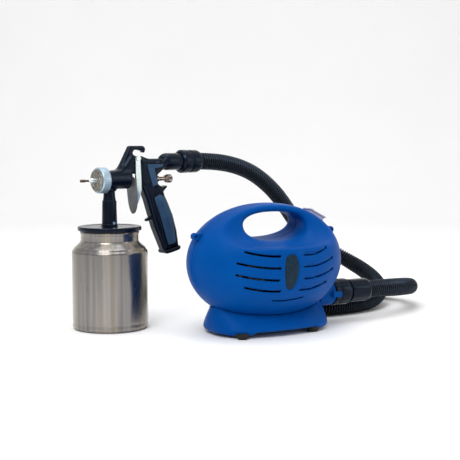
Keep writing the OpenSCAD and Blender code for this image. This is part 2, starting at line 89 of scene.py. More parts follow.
class Nodes:
    """Adds shader nodes to one material"""

    def __init__(self, name):
        self.material = bpy.data.materials.new(name)
        self.material.use_nodes = True
        self.tree = self.material.node_tree
        self.shader = self.tree.nodes["Principled BSDF"]

    def add(self, kind, **inputs):
        node = self.tree.nodes.new(kind)
        for key, value in inputs.items():
            if key in node.inputs:
                node.inputs[key].default_value = value
            else:
                setattr(node, key, value)
        return node

    def link(self, source, output, target, into):
        self.tree.links.new(source.outputs[output], target.inputs[into])

    def position(self, scale=(1, 1, 1)):
        """Object coordinates in metres, stretched by scale"""
        source = self.add("ShaderNodeTexCoord")
        mapping = self.add("ShaderNodeMapping")
        mapping.inputs["Scale"].default_value = scale
        self.link(source, "Object", mapping, "Vector")
        return mapping

    def noise(self, size, stretch=(1, 1, 1), detail=3.0):
        """Noise whose patches are about size metres across"""
        node = self.add("ShaderNodeTexNoise", Scale=1 / size, Detail=detail)
        self.link(self.position(stretch), "Vector", node, "Vector")
        return node

    def ramp(self, source, output, low, high, start=0.35, end=0.65):
        """Maps an output to a colour or value between low and high"""
        node = self.add("ShaderNodeMapRange")
        node.inputs["From Min"].default_value = start
        node.inputs["From Max"].default_value = end
        node.inputs["To Min"].default_value = low
        node.inputs["To Max"].default_value = high
        self.link(source, output, node, "Value")
        return node

    def mix(self, factor_node, factor_output, first, second):
        """Mixes two colours, each a colour or a (node, output) pair"""
        node = self.add("ShaderNodeMix", data_type="RGBA")
        self.link(factor_node, factor_output, node, "Factor")
        for socket, value in ((6, first), (7, second)):
            if isinstance(value[0], bpy.types.Node):
                self.tree.links.new(value[0].outputs[value[1]], node.inputs[socket])
            else:
                node.inputs[socket].default_value = (*value[:3], 1)
        return node

    def bump(self, height_node, output, distance):
        """Relief of this depth in metres"""
        node = self.add("ShaderNodeBump", Distance=distance)
        self.link(height_node, output, node, "Height")
        self.link(node, "Normal", self.shader, "Normal")


def finish_look(name, color, shade, rough, rough_var=0.06, metallic=0.0, grain=0.0004, depth=0.00002,
                stretch=(1, 1, 1), wear_and_highlight=0.0, wear_and_highlight_color=(0.6, 0.6, 0.6), patch=0.03,
                specular=0.5, sheen_color=(1, 1, 1)):
    """A finish with colour patches, uneven roughness, fine grain and lightened edges and ridges, which on the hose
    are a painted highlight
    """
    made = Nodes(name)
    shader = made.shader
    shader.inputs["Metallic"].default_value = metallic
    shader.inputs["Specular IOR Level"].default_value = specular
    shader.inputs["Specular Tint"].default_value = (*sheen_color, 1)
    patches = made.noise(patch, stretch)
    tint = made.mix(made.ramp(patches, "Fac", 0, 1), "Result", color, shade)
    # Convex edges and ridges take a lighter colour; on the hose this is a painted highlight along the ridges of
    # its rings
    if wear_and_highlight > 0:
        geometry = made.add("ShaderNodeNewGeometry")
        edges = made.ramp(geometry, "Pointiness", 0, wear_and_highlight, 0.53, 0.62)
        tint = made.mix(edges, "Result", (tint, 2), wear_and_highlight_color)
    made.tree.links.new(tint.outputs[2], shader.inputs["Base Color"])
    smudge = made.noise(patch / 3, stretch, 5.0)
    uneven = made.ramp(smudge, "Fac", rough - rough_var, rough + rough_var, 0.3, 0.7)
    made.link(uneven, "Result", shader, "Roughness")
    made.bump(made.noise(grain, stretch, 2.0), "Fac", depth)
    return made


LOOKS = {}
NIGHT_SKY = (0.5, 0.7, 1.0)      # the cool tinge of reflections on the black and blue parts


def make_looks():
    """One finish for each material slot of the record, and a few for single pieces"""
    LOOKS["black_enamel"] = finish_look(
        "black_enamel", (0.002, 0.003, 0.006), (0.004, 0.006, 0.013), 0.2, 0.05, specular=0.22,
        grain=0.0022, depth=0.00004, wear_and_highlight=0.1, wear_and_highlight_color=(0.04, 0.06, 0.11),
        sheen_color=NIGHT_SKY)
    LOOKS["grip_plastic"] = finish_look(
        "grip_plastic", (0.022, 0.055, 0.11), (0.034, 0.08, 0.15), 0.42, grain=0.0005,
        depth=0.00012, specular=0.3, sheen_color=NIGHT_SKY)
    LOOKS["black_plastic"] = finish_look(
        "black_plastic", (0.002, 0.004, 0.008), (0.004, 0.006, 0.012), 0.2, grain=0.0005,
        depth=0.00003, wear_and_highlight=0.15, wear_and_highlight_color=(0.02, 0.035, 0.06), specular=0.2,
        sheen_color=NIGHT_SKY)
    LOOKS["bright_steel"] = finish_look(
        "bright_steel", (0.76, 0.86, 0.86), (0.68, 0.78, 0.79), 0.24, 0.06, metallic=0.9,
        grain=0.0003, depth=0.000008, stretch=(1, 1, 0.12))
    LOOKS["pressed_steel"] = finish_look(
        "pressed_steel", (0.17, 0.175, 0.18), (0.14, 0.15, 0.16), 0.55, 0.05, metallic=0.4,
        grain=0.0005, depth=0.00001, patch=0.02)
    LOOKS["turned_aluminium"] = finish_look(
        "turned_aluminium", (0.36, 0.34, 0.31), (0.19, 0.18, 0.15), 0.36, 0.08, metallic=0.9,
        grain=0.0005, depth=0.00003, patch=0.006)
    LOOKS["ring_aluminium"] = finish_look(
        "ring_aluminium", (0.40, 0.53, 0.62), (0.34, 0.45, 0.54), 0.38, 0.05, metallic=0.6,
        grain=0.0005, depth=0.00001, patch=0.015)
    LOOKS["nozzle_brass"] = finish_look(
        "nozzle_brass", (0.16, 0.10, 0.07), (0.05, 0.035, 0.03), 0.34, 0.08, metallic=0.9,
        grain=0.0004, depth=0.00002, patch=0.006)
    LOOKS["knob_chrome"] = finish_look(
        "knob_chrome", (0.40, 0.35, 0.30), (0.24, 0.19, 0.15), 0.2, 0.05, metallic=1.0,
        grain=0.0006, depth=0.00001, patch=0.006)
    LOOKS["rubber"] = finish_look(
        "rubber", (0.008, 0.008, 0.009), (0.014, 0.013, 0.013), 0.7, grain=0.0004, depth=0.00006,
        specular=0.3)
    # The lighter grey on the ridges is a painted highlight that makes the rings stand out against the black
    # valleys
    LOOKS["hose_plastic"] = finish_look(
        "hose_plastic", (0.001, 0.001, 0.002), (0.002, 0.002, 0.003), 0.3, grain=0.0008,
        wear_and_highlight=1.0, wear_and_highlight_color=(0.045, 0.048, 0.06),
        depth=0.00002, specular=0.3, sheen_color=NIGHT_SKY)
    LOOKS["blue_plastic"] = finish_look(
        "blue_plastic", (0.0, 0.056, 0.265), (0.0, 0.066, 0.295), 0.42, 0.03, grain=0.0006,
        depth=0.000018, patch=0.09, wear_and_highlight=0.08, wear_and_highlight_color=(0.0, 0.09, 0.36), specular=0.08,
        sheen_color=(0.3, 0.65, 1.0))
    LOOKS["grey_plastic"] = finish_look(
        "grey_plastic", (0.002, 0.014, 0.030), (0.005, 0.024, 0.044), 0.45, grain=0.0008,
        depth=0.0001, patch=0.004, specular=0.15)
    LOOKS["switch_plastic"] = finish_look(
        "switch_plastic", (0.27, 0.27, 0.42), (0.33, 0.33, 0.48), 0.3, grain=0.0005, depth=0.00001)
    LOOKS["rocker_plastic"] = finish_look(
        "rocker_plastic", (0.62, 0.66, 0.74), (0.68, 0.72, 0.80), 0.25, grain=0.0005,
        depth=0.00001)
    LOOKS["motor_iron"] = finish_look(
        "motor_iron", (0.05, 0.05, 0.055), (0.07, 0.065, 0.06), 0.5, metallic=1.0, grain=0.0005,
        depth=0.00003, stretch=(12, 12, 1))
    LOOKS["copper"] = finish_look(
        "copper", (0.7, 0.32, 0.18), (0.55, 0.26, 0.15), 0.3, metallic=1.0)
    LOOKS["carbon"] = finish_look("carbon", (0.03, 0.03, 0.03), (0.05, 0.05, 0.05), 0.55)
    LOOKS["filter_foam"] = finish_look(
        "filter_foam", (0.1, 0.1, 0.1), (0.16, 0.16, 0.16), 0.9, grain=0.0012, depth=0.0006)
    LOOKS["cup_aluminium"] = cup_look()


def cup_look():
    """Spun aluminium: turning lines draw reflections out, and painted reflections of the surroundings run up the
    wall as streaks
    """
    made = Nodes("cup_aluminium")
    shader = made.shader
    shader.inputs["Metallic"].default_value = 1.0
    shader.inputs["Anisotropic"].default_value = 0.7
    shader.inputs["Anisotropic Rotation"].default_value = 0.25
    tangent = made.add("ShaderNodeTangent", direction_type="RADIAL", axis="Z")
    made.link(tangent, "Tangent", shader, "Tangent")
    # Vertical bands of grey and warm brown are painted reflections of the surroundings, laid over the metal's own
    # grey
    reflection_bands = made.ramp(made.noise(0.035, (1, 1, 0.08), 2.0), "Fac", 0, 1, 0.38, 0.62)
    tint = made.mix(reflection_bands, "Result", (0.21, 0.20, 0.195), (0.34, 0.295, 0.225))
    # Finer pale streaks up the wall are painted reflections too
    fine = made.ramp(made.noise(0.006, (1, 1, 0.02), 3.0), "Fac", 0, 0.5, 0.4, 0.7)
    reflection_streaks = made.mix(fine, "Result", (tint, 2), (0.42, 0.40, 0.37))
    made.tree.links.new(reflection_streaks.outputs[2], shader.inputs["Base Color"])
    uneven = made.ramp(made.noise(0.02, (1, 1, 0.1), 3.0), "Fac", 0.22, 0.30)
    made.link(uneven, "Result", shader, "Roughness")
    lines = made.noise(0.0012, (0.04, 0.04, 1), 2.0)
    made.bump(lines, "Fac", 0.000012)
    return made


make_looks()


# ---- pieces from points and faces --------------------------------------------------------------

def add_piece(name, points, faces, body, slot, place=None, nodes=(), sharp=35, bevel=0.0,
              look=None):
    """Makes a mesh piece from points in millimetres, puts it in place and lets it ride on a body"""
    move = place or Matrix()
    turn = np.array(move.to_3x3())
    shift = np.array(move.translation)
    points = (np.asarray(points, float) @ turn.T + shift) * MM
    mesh = bpy.data.meshes.new(name)
    mesh.from_pydata(points.tolist(), [], faces)
    mesh.validate()
    outward = bmesh.new()
    outward.from_mesh(mesh)
    bmesh.ops.recalc_face_normals(outward, faces=outward.faces)
    outward.to_mesh(mesh)
    outward.free()
    mesh.shade_smooth()
    mesh.set_sharp_from_angle(angle=math.radians(sharp))
    piece = bpy.data.objects.new(name, mesh)
    bpy.context.scene.collection.objects.link(piece)
    mesh.materials.append(LOOKS[look or slot].material)
    if bevel > 0:
        rounding = piece.modifiers.new("rounding", "BEVEL")
        rounding.width = bevel * MM
        rounding.segments = 3
        rounding.limit_method = "ANGLE"
        rounding.angle_limit = math.radians(30)
        rounding.harden_normals = True
    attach(piece, body)
    if nodes:
        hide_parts(*nodes)
    return piece


def lathe(profile, turns=96, form=None):
    """Points and faces of a turned shape about X; form(x, r, angle) may change the radius"""
    points = []
    for x, r in profile:
        for i in range(turns):
            angle = 2 * math.pi * i / turns
            radius = form(x, r, angle) if form else r
            points.append((x, radius * math.cos(angle), radius * math.sin(angle)))
    faces = []
    rings = len(profile)
    for j in range(rings - 1):
        k = j + 1
        for i in range(turns):
            n = (i + 1) % turns
            faces.append((j * turns + i, j * turns + n, k * turns + n, k * turns + i))
    faces.append(tuple(range(turns)))
    faces.append(tuple((rings - 1) * turns + i for i in reversed(range(turns))))
    return points, faces


def rounded(profile, radius=0.5, steps=3):
    """The same profile with its corners rounded"""
    points = [Vector(p) for p in profile]
    made = [points[0]]
    for before, corner, after in zip(points, points[1:], points[2:]):
        to_before, to_after = before - corner, after - corner
        reach = min(radius, to_before.length * 0.45, to_after.length * 0.45)
        start = corner + to_before.normalized() * reach
        end = corner + to_after.normalized() * reach
        for i in range(steps + 1):
            t = i / steps
            made.append(start * (1 - t) ** 2 + corner * (2 * t * (1 - t)) + end * t * t)
    made.append(points[-1])
    return [tuple(p) for p in made]


def turned(name, profile, body, slot, place, nodes=(), radius=0.5, turns=96, form=None):
    points, faces = lathe(rounded(profile, radius), turns, form)
    return add_piece(name, points, faces, body, slot, place, nodes)


def plate(outline, low, high):
    """Points and faces of an outline in x and z between y = low and y = high"""
    count = len(outline)
    points = [(x, low, z) for x, z in outline] + [(x, high, z) for x, z in outline]
    faces = [tuple(range(count)), tuple(reversed(range(count, 2 * count)))]
    for i in range(count):
        n = (i + 1) % count
        faces.append((i, i + count, n + count, n))
    return points, faces


def arc(cx, cz, r, start, end, steps=8):
    """Points of an arc, with angles in degrees"""
    angles = [math.radians(start + (end - start) * i / steps) for i in range(steps + 1)]
    return [(cx + r * math.cos(a), cz + r * math.sin(a)) for a in angles]


# ---- pieces from distance fields ---------------------------------------------------------------
# A field is an array of signed distances in millimetres, negative inside, on a regular grid.

def grid(low, high, step):
    """Sparse coordinate arrays of a grid whose points fall on whole steps"""
    axes = [np.arange(math.floor(a / step), math.ceil(b / step) + 1, dtype=np.float32) * step
            for a, b in zip(low, high)]
    return np.meshgrid(*axes, indexing="ij", sparse=True)


def join(a, b, k=0.0):
    """Union, with a fillet about k wide"""
    if k == 0:
        return np.minimum(a, b)
    h = np.maximum(k - np.abs(a - b), 0) / k
    return np.minimum(a, b) - h * h * k / 4


def cut(a, b, k=0.0):
    """a without b, with its edge rounded by about k"""
    return -join(-a, b, k)


def outline_field(outline, x, z):
    """Signed distance from a closed outline in the x z plane"""
    shape = np.broadcast(x, z).shape
    inside = np.zeros(shape, bool)
    nearest = np.full(shape, 1e6, np.float32)
    for (x0, z0), (x1, z1) in zip(outline, outline[1:] + outline[:1]):
        dx, dz = x1 - x0, z1 - z0
        t = np.clip(((x - x0) * dx + (z - z0) * dz) / (dx * dx + dz * dz), 0, 1)
        nearest = np.minimum(nearest, np.hypot(x - x0 - t * dx, z - z0 - t * dz))
        if dz:
            crosses = (z0 > z) != (z1 > z)
            inside ^= crosses & (x < x0 + (z - z0) * dx / dz)
    return np.where(inside, -nearest, nearest)


def rounded_pair(a, b, r):
    """Intersection of two distances with its edge rounded to radius r"""
    a = a + r
    b = b + r
    outside = np.hypot(np.maximum(a, 0), np.maximum(b, 0))
    return outside + np.minimum(np.maximum(a, b), 0) - r


def plate_field(outline, half, r, x, y, z):
    return rounded_pair(outline_field(outline, x, z), np.abs(y) - half, r)


def rod_field(x0, x1, radius, r, x, y, z):
    """A round bar along x at height zero, from x0 to x1"""
    across = np.hypot(y, z) - radius
    along = np.abs(x - (x0 + x1) / 2) - (x1 - x0) / 2
    return rounded_pair(across, along, r)


def surface(field, coords, step):
    """Points and faces of a field's zero surface"""
    volume = openvdb.FloatGrid(3 * step)
    volume.copyFromArray(np.ascontiguousarray(field, dtype=np.float32))
    points, quads = volume.convertToQuads(isovalue=0)
    corner = np.array([float(c.flat[0]) for c in coords])
    return points * step + corner, quads[:, ::-1].tolist()


def field_piece(name, field, coords, step, body, slot, place=None, nodes=()):
    points, faces = surface(field, coords, step)
    return add_piece(name, points, faces, body, slot, place, nodes, sharp=60)


# ---- spray gun ---------------------------------------------------------------------------------

def gun_casting():
    """Cast body: barrel, hook, handle, spur and bosses in one piece"""
    step = 0.65
    x, y, z = coords = grid((-18, -14, 94), (116, 14, 244), step)
    height = z - GUN_Z
    shoulder = [(-5, 205.5), (14, 209), (20, 214), (31, 228), (35, 227.5), (48, 227), (60, 222.8),
                (80, 222.8), (73, 205), (72, 184), (60, 188), (46, 190), (44, 203), (30, 203),
                (24, 196), (-5, 196)]
    hook = ([(14, 210), (29.5, 237.5)] + arc(33.5, 236.5, 4.1, 165, 90, 4)
            + arc(51, 235.6, 5, 90, -20, 6) + arc(53.6, 233.2, 1.9, -60, -190, 5)
            + arc(42, 232, 3.4, 70, 110, 3) + arc(40.5, 230.5, 4.8, 115, 200, 5)
            + [(36, 222), (24, 208)])
    handle = [(46, 192), (57, 167), (70, 128.5), (84.5, 97), (109.6, 102.4), (106.2, 123.5),
              (99.5, 146), (91, 164), (86, 173), (84.5, 178), (90.5, 184), (91, 186.4),
              (83, 184.5), (76, 188.5), (73.5, 194), (74, 200.5), (88, 211), (89.5, 220), (80, 222),
              (46, 222)]
    catch = [(66, 145), (57.8, 141.6), (56.8, 139), (59, 138.2), (68, 141), (70, 147)]
    barrel = rod_field(-14, -4, 13, 0.4, x, y, height)
    barrel = join(barrel, rod_field(-6, 29, 12, 1.0, x, y, height), 0.8)
    body = join(barrel, plate_field(shoulder, 8.8, 3.4, x, y, z), 5.0)
    body = join(body, plate_field(hook, 4.6, 2.2, x, y, z), 4.0)
    grip = plate_field(handle, 9, 5.2, x, y, z)
    body = join(body, grip, 3.0)
    body = join(body, plate_field(catch, 2.6, 1.2, x, y, z), 2.0)
    body = join(body, rod_field(84, 92, 9.5, 2.5, x, y, z - INLET_Z), 3.0)
    boss = rounded_pair(np.hypot(x - 2.5, y) - 7, np.abs(z - 186) - 5, 0.6)
    body = join(body, boss, 3.5)
    # the gap that the needle crosses, and the trigger's room
    gap = np.maximum(np.abs(x - 38) - 8.6, np.abs(z - 190) - 12.8)
    body = cut(body, gap + 0 * y, 1.2)
    # flats that the trigger's straps swing past
    sweep = np.maximum(np.abs(x - 50) - 17, 9.1 - np.abs(y)) + 0 * z
    body = cut(body, sweep, 0.3)
    # step where the front strip of the handle meets its side
    strip = [(60, 190), (61.5, 190), (87, 99), (85.5, 99)]
    groove = np.maximum(outline_field(strip, x, z), 8.1 - np.abs(y))
    body = cut(body, groove, 0.8)
    # pivot bore and knob bore
    body = cut(body, np.hypot(x - PIVOT.x, z - PIVOT.z) - 2.1 + 0 * y, 0.6)
    body = cut(body, rod_field(60, 92, 4.6, 0.1, x, y, height), 0.6)
    field_piece("gun_casting", body, coords, step, "root", "black_enamel", nodes=["gun_body"])


def grip_inlays():
    """Leaf-shaped textured pads let into the handle's sides"""
    step = 0.6
    x, y, z = coords = grid((62, -14, 100), (110, 14, 178), step)
    leaf = [(66.4, 168.5), (68.5, 171.5), (75.5, 175), (81, 172.6), (86.5, 165), (91, 157.2),
            (94.6, 148.5), (97.2, 139.5), (99.2, 130), (100.8, 120), (102, 110.5),
            (100.8, 106.8), (90.5, 104.6), (88.3, 108.3), (81.3, 128.9), (74.4, 150.3)]
    rim = outline_field(leaf, x, z)
    crown = 11.5 - 0.05 * np.minimum(np.maximum(rim + 8, 0), 8) ** 1.6
    pad = rounded_pair(rim, np.abs(y) - crown, 1.1)
    crease = outline_field([(76, 163), (76.7, 163.3), (97.4, 112.4), (96.7, 112)], x, z)
    pad = cut(pad, np.maximum(crease - 0.2, 10.4 - np.abs(y)), 0.5)
    pad = np.maximum(pad, 8.9 - np.abs(y))
    field_piece("grip_inlays_textured", pad, coords, step, "root", "grip_plastic",
                nodes=["grip_inlays"])


def side_panels():
    """Blue-grey panels let into the hollows behind the trigger, with a ledge along their top"""
    outline = [(54.6, 215.6), (81, 215.2), (79, 211.6), (66.5, 210.6), (72.6, 188.6), (64, 185.6)]
    ledge = [(54.6, 215.8), (81, 215.4), (80.4, 213.2), (55.6, 213.2)]
    for side, label in ((-1, "near"), (1, "far")):
        for shape, depth, part in ((outline, 10.2, "panel"), (ledge, 10.7, "ledge")):
            low, high = sorted((side * 7.5, side * depth))
            points, faces = plate(shape, low, high)
            add_piece(f"side_{part}_{label}", points, faces, "root", "grip_plastic", bevel=0.5)


def handle_end():
    """Plug at the bottom of the handle"""
    step = 0.65
    x, y, z = coords = grid((82, -13, 90), (117, 13, 106), step)
    foot = [(84.4, 97.5), (84.9, 94.4), (87.4, 92.4), (92, 92.8), (104, 95.4), (109.4, 97.2),
            (111.2, 99.4), (110.4, 103)]
    plug = plate_field(foot, 10.3, 2.6, x, y, z)
    seam = outline_field([(84, 96.6), (84.2, 96), (111.4, 101.6), (111.2, 102.2)], x, z)
    plug = cut(plug, np.maximum(seam, 9.6 - np.abs(y)), 0.4)
    field_piece("handle_end_plug", plug, coords, step, "root", "black_plastic",
                nodes=["handle_end_cap"])


def trigger():
    """Folded sheet-metal trigger: two straps, side flanges and a dished finger blade"""
    thick = 1.5
    inner = 9.35
    strap = ([(35.6, 200), (35.4, 224)] + arc(PIVOT.x, PIVOT.z, 3.7, 170, 10, 8)
             + [(43.6, 210), (44.6, 186), (44.2, 181), (42.2, 174), (39.4, 180), (37, 190)])
    for side, label in ((-1, "near"), (1, "far")):
        low, high = sorted((side * inner, side * (inner + thick)))
        points, faces = plate(strap, low, high)
        add_piece("trigger_strap_" + label, points, faces, "trigger", "bright_steel",
                  nodes=["trigger"], bevel=0.4)
    rows, columns = 28, 20
    top, bottom = 198.0, 149.6

    def front(z):
        return 32.6 + 3.4 * math.sin((top - z) * 0.034)

    points = []
    for layer in (0, 1):
        for i in range(rows + 1):
            z = top + (bottom - top) * i / rows
            # the blade keeps its width behind the strap, then closes to a rounded point
            closing = max(0.0, (i / rows - 0.45) / 0.55)
            half = 11.3 * math.sqrt(max(0.0, 1 - closing ** 2.1)) + 0.05
            for j in range(columns + 1):
                across = 2 * j / columns - 1
                points.append((front(z) + 1.2 * across ** 2 + 1.2 * layer, across * half, z))
    faces = []
    width = columns + 1
    size = (rows + 1) * width
    for i in range(rows):
        for j in range(columns):
            a = i * width + j
            quad = (a, a + 1, a + 1 + width, a + width)
            faces.append(quad)
            faces.append(tuple(size + v for v in reversed(quad)))
    border = [j for j in range(width)]
    border += [i * width + columns for i in range(1, rows + 1)]
    border += [rows * width + j for j in range(columns - 1, -1, -1)]
    border += [i * width for i in range(rows - 1, 0, -1)]
    for a, b in zip(border, border[1:] + border[:1]):
        faces.append((b, a, a + size, b + size))
    add_piece("trigger_blade", points, faces, "trigger", "bright_steel", look="pressed_steel")
    flange = [(front(z) + 1.5, z) for z in (190, 182, 174, 166, 158, 152.4)]
    flange += [(37.6, 156), (39.4, 163), (41, 170), (42.6, 176), (42, 184), (40, 190)]
    for side, label in ((-1, "near"), (1, "far")):
        points, faces = plate(flange, *sorted((side * 9.4, side * 10.6)))
        # the flanges lean in towards the blade's point
        points = [(x, y * min(1, 0.42 + (z - 150) / 34), z) for x, y, z in points]
        add_piece("trigger_flange_" + label, points, faces, "trigger", "bright_steel",
                  bevel=0.3, look="ring_aluminium")


def ring_knurl(x, r, angle):
    return r - 0.22 * max(0.0, math.cos(36 * angle)) if r > 16.6 else r


def knob_knurl(x, r, angle):
    return r - 0.45 * (0.5 + 0.5 * math.cos(22 * angle)) if r > 5.3 else r


def nozzle_end():
    """Air cap's face and the retaining ring, with the long fluid tip"""
    turned("retaining_ring", [(-18.6, 15.05), (-18.6, 15.7), (-17.3, 17), (-7.5, 17), (-6.7, 16.4),
                              (-6.7, 13.1), (-14, 13.1), (-14, 16), (-15.9, 16), (-15.9, 15.05)],
           "ring", "ring_aluminium", GUN_AXIS, ["air_cap_ring"], 0.35, 144, ring_knurl)
    tip = [(-44, 0.9), (-44, 1.5), (-43.4, 1.9), (-37.6, 1.9), (-37, 1.4), (-31.4, 1.4),
           (-31.4, 0.9)]
    turned("fluid_tip", tip, "root", "nozzle_brass", GUN_AXIS, ["fluid_nozzle"], 0.25, 48)
    horn = [(-31.4, 0.9), (-31.4, 1.6), (-27.5, 3.2), (-26.4, 3.5), (-14, 3.5), (-13.9, 8), (-6, 8),
            (-6, 4), (4, 4), (4, 1.6), (-24, 1.6), (-26, 0.9)]
    points, faces = lathe(rounded(horn, 0.25), 48)
    add_piece("fluid_horn", points, faces, "root", "nozzle_brass", GUN_AXIS, look="bright_steel")


def knob():
    turned("fluid_knob_knurled", [(76, 0.01), (76, 4.2), (79, 4.2), (79, 2.8), (89.6, 2.8),
                                  (90.6, 4.6), (94, 5.9), (99.6, 5.9), (101.3, 4.4),
                                  (101.4, 0.01)],
           "knob", "knob_chrome", GUN_AXIS, ["fluid_knob"], 0.5, 132, knob_knurl)


def air_inlet():
    """Swelling behind the gun that takes the hose, and the gun end's union nut"""
    turned("air_inlet_barrel", [(84, 5), (85, 8.4), (87.5, 10.8), (92, 11.8), (115.9, 11.8),
                                (115.9, 9), (90, 9), (90, 5)],
           "root", "black_plastic", INLET_AXIS, ["air_inlet_tube"], 1.2)

    turned("gun_union_nut", [(114.5, 12.06), (114.5, 13.4), (117.4, 16.1), (127, 16.1),
                             (127.8, 15.2), (127.8, 14.6), (131.4, 14.6), (131.8, 15.8),
                             (143.5, 15.8), (145, 14.4), (147.4, 14.2), (147.4, 12.06)],
           "gun_collar", "black_plastic", INLET_AXIS, ["gun_hose_collar"], 0.7, 144)


def gun():
    gun_casting()
    grip_inlays()
    side_panels()
    handle_end()
    trigger()
    nozzle_end()
    knob()
    air_inlet()


# ---- paint cup ---------------------------------------------------------------------------------

def cup():
    """Spun cup: straight wall, shoulder that curves in to the neck, and a rolled rim"""
    wall = 1.4
    outside = ([(0, 0.01), (0, 41)] + [(5 - 5 * math.cos(a), 45 + 5 * math.sin(a))
                                       for a in [math.radians(d) for d in range(15, 91, 15)]]
               + [(9, 49.6), (12, 50), (101.5, 50), (103.5, 49.4), (105.2, 47.6)])
    neck = [(106.5 + 12 * math.sin(math.radians(t)), 48 - 10 * math.sin(math.radians(1.5 * t)))
            for t in range(4, 61, 8)]
    rim = [(118, 38), (124.6, 38), (125.4, 38.8), (128.4, 38.8), (128.5, 36.65)]
    inside = [(118, 36.62), (112, 38.6), (107.5, 43.5), (105, 46.6), (102, 48.6), (6, 48.6),
              (wall, 44), (wall, 0.01)]
    points, faces = lathe(rounded(outside + neck + rim, 0.6) + rounded(inside, 1.0), 160)
    add_piece("spun_cup", points, faces, "cup", "cup_aluminium", UPRIGHT, ["cup"], sharp=50)


def lid():
    turned("screw_lid", [(122, 3.1), (122, 34), (129.6, 34), (129.6, 41), (130.3, 42), (134.2, 42),
                         (135.2, 40.8), (135.2, 34), (134.7, 33.2), (134.7, 14), (135.2, 13),
                         (135.2, 3.1)],
           "root", "black_enamel", UPRIGHT, ["cup_lid"], 0.6, 144)
    turned("paint_neck", [(135.2, 3.02), (135.2, 10.9), (137.2, 10.9), (137.8, 10.2), (143, 10),
                          (168.4, 9.4), (169.2, 8.4), (172, 8.2), (172.8, 7.9), (181, 7.4),
                          (181, 3.02)],
           "root", "black_enamel", UPRIGHT, ["neck_tube"], 0.5, 96)


# ---- hose --------------------------------------------------------------------------------------

# The route's points repeat the ones in the part's source, in metres.
HOSE_DROP = [(0.150, 0, 0.2187), (0.186, 0.001, 0.2175), (0.224, 0.003, 0.211),
             (0.256, 0.005, 0.200), (0.285, 0.008, 0.184), (0.312, 0.012, 0.165),
             (0.336, 0.016, 0.143), (0.358, 0.019, 0.119), (0.383, 0.019, 0.098),
             (0.409, 0.010, 0.080), (0.430, -0.011, 0.063), (0.440, -0.043, 0.048),
             (0.436, -0.076, 0.035), (0.418, -0.105, 0.024), (0.390, -0.123, 0.016),
             (0.357, -0.132, 0.012)]
HOSE_RETURN = [(0.469, -0.069, 0.014), (0.466, -0.102, 0.020), (0.448, -0.137, 0.028),
               (0.416, -0.164, 0.035), (0.370, -0.177, 0.040)]
PORT_END = 169


def hose_route():
    """Out of the gun, down behind the blower, one loop on the floor and up to the port"""
    loop = []
    for degrees in range(0, 276, 25):
        angle = math.radians(-85 - degrees)
        radius = (95 + 52 * (degrees / 275) ** 1.5) * MM
        loop.append((0.316 + radius * math.cos(angle), -0.036 + radius * math.sin(angle), 0.012))
    tip = PORT_AXIS @ Vector((PORT_END, 0, 0)) * MM
    return [Vector(p) for p in HOSE_DROP + loop + HOSE_RETURN] + [tip]


def smooth_line(points, spacing):
    """A cubic B-spline that starts and ends at the first and last point, at even spacing"""
    padded = [2 * points[0] - points[1]] + points + [2 * points[-1] - points[-2]]
    dense = []
    for i in range(len(padded) - 3):
        a, b, c, d = padded[i:i + 4]
        for k in range(40):
            t = k / 40
            dense.append((a * (1 - t) ** 3 + b * (3 * t ** 3 - 6 * t ** 2 + 4)
                          + c * (-3 * t ** 3 + 3 * t ** 2 + 3 * t + 1) + d * t ** 3) / 6)
    dense.append(points[-1].copy())
    dense = np.array([tuple(p) for p in dense])
    along = np.concatenate([[0], np.cumsum(np.linalg.norm(np.diff(dense, axis=0), axis=1))])
    count = max(2, round(along[-1] / spacing))
    wanted = np.linspace(0, along[-1], count + 1)
    return np.stack([np.interp(wanted, along, dense[:, i]) for i in range(3)], axis=1), along[-1]


def hose():
    """Ring-corrugated hose: a tube whose radius rises and falls once per ring"""
    pitch, per_ring, sides = 4.0, 8, 28
    line, length = smooth_line(hose_route(), pitch * MM / per_ring)
    tangents = np.gradient(line, axis=0)
    tangents /= np.linalg.norm(tangents, axis=1)[:, None]
    side = np.array([0.0, 1.0, 0.0])
    points = []
    for i, (centre, tangent) in enumerate(zip(line, tangents)):
        side = side - tangent * side.dot(tangent)
        side /= np.linalg.norm(side)
        up = np.cross(tangent, side)
        wave = (0.5 + 0.5 * math.cos(2 * math.pi * i / per_ring)) ** 0.8
        radius = (9.4 + 2.6 * wave) * MM
        for k in range(sides):
            angle = 2 * math.pi * k / sides
            points.append(centre + radius * (math.cos(angle) * side + math.sin(angle) * up))
    faces = []
    for i in range(len(line) - 1):
        for k in range(sides):
            n = (k + 1) % sides
            faces.append((i * sides + k, i * sides + n, (i + 1) * sides + n, (i + 1) * sides + k))
    faces.append(tuple(range(sides)))
    faces.append(tuple((len(line) - 1) * sides + k for k in reversed(range(sides))))
    piece = add_piece("air_hose", np.array(points) / MM, faces, "root", "hose_plastic",
                      nodes=["hose_tube"], sharp=80)


hose()


# ---- blower ------------------------------------------------------------------------------------

EGG_A, EGG_R, EGG_Z, EGG_P = 108, 76, 91, 2.1
HOLE_U, HOLE_Z, HOLE_A, HOLE_B = 2, 138, 47, 18
SCOOP_R, SCOOP_Z, GRIP_HALF = 45, 160, 21
BASE_U = -6          # middle of the vents, badges and feet
PLINTH_U = 2         # middle of the plinth
SWITCH_U, SWITCH_Z, SWITCH_TILT = 78, 150, math.radians(27)
GLAND_U, GLAND_Z = -48, 48
VENTS = [(17, 58, 105, 111), (17, 68, 90, 97.5), (18, 69, 75, 83), (14, 58, 60.5, 67)]


def norm_field(a, b, half_a, half_b, p):
    """Distance from a superellipse with these half axes, close to exact near its edge"""
    a, b = np.abs(a) / half_a + 1e-4, np.abs(b) / half_b + 1e-4
    level = (a ** p + b ** p) ** (1 / p)
    slope = level ** (1 - p) * np.hypot(a ** (p - 1) / half_a, b ** (p - 1) / half_b)
    return (level - 1) / slope


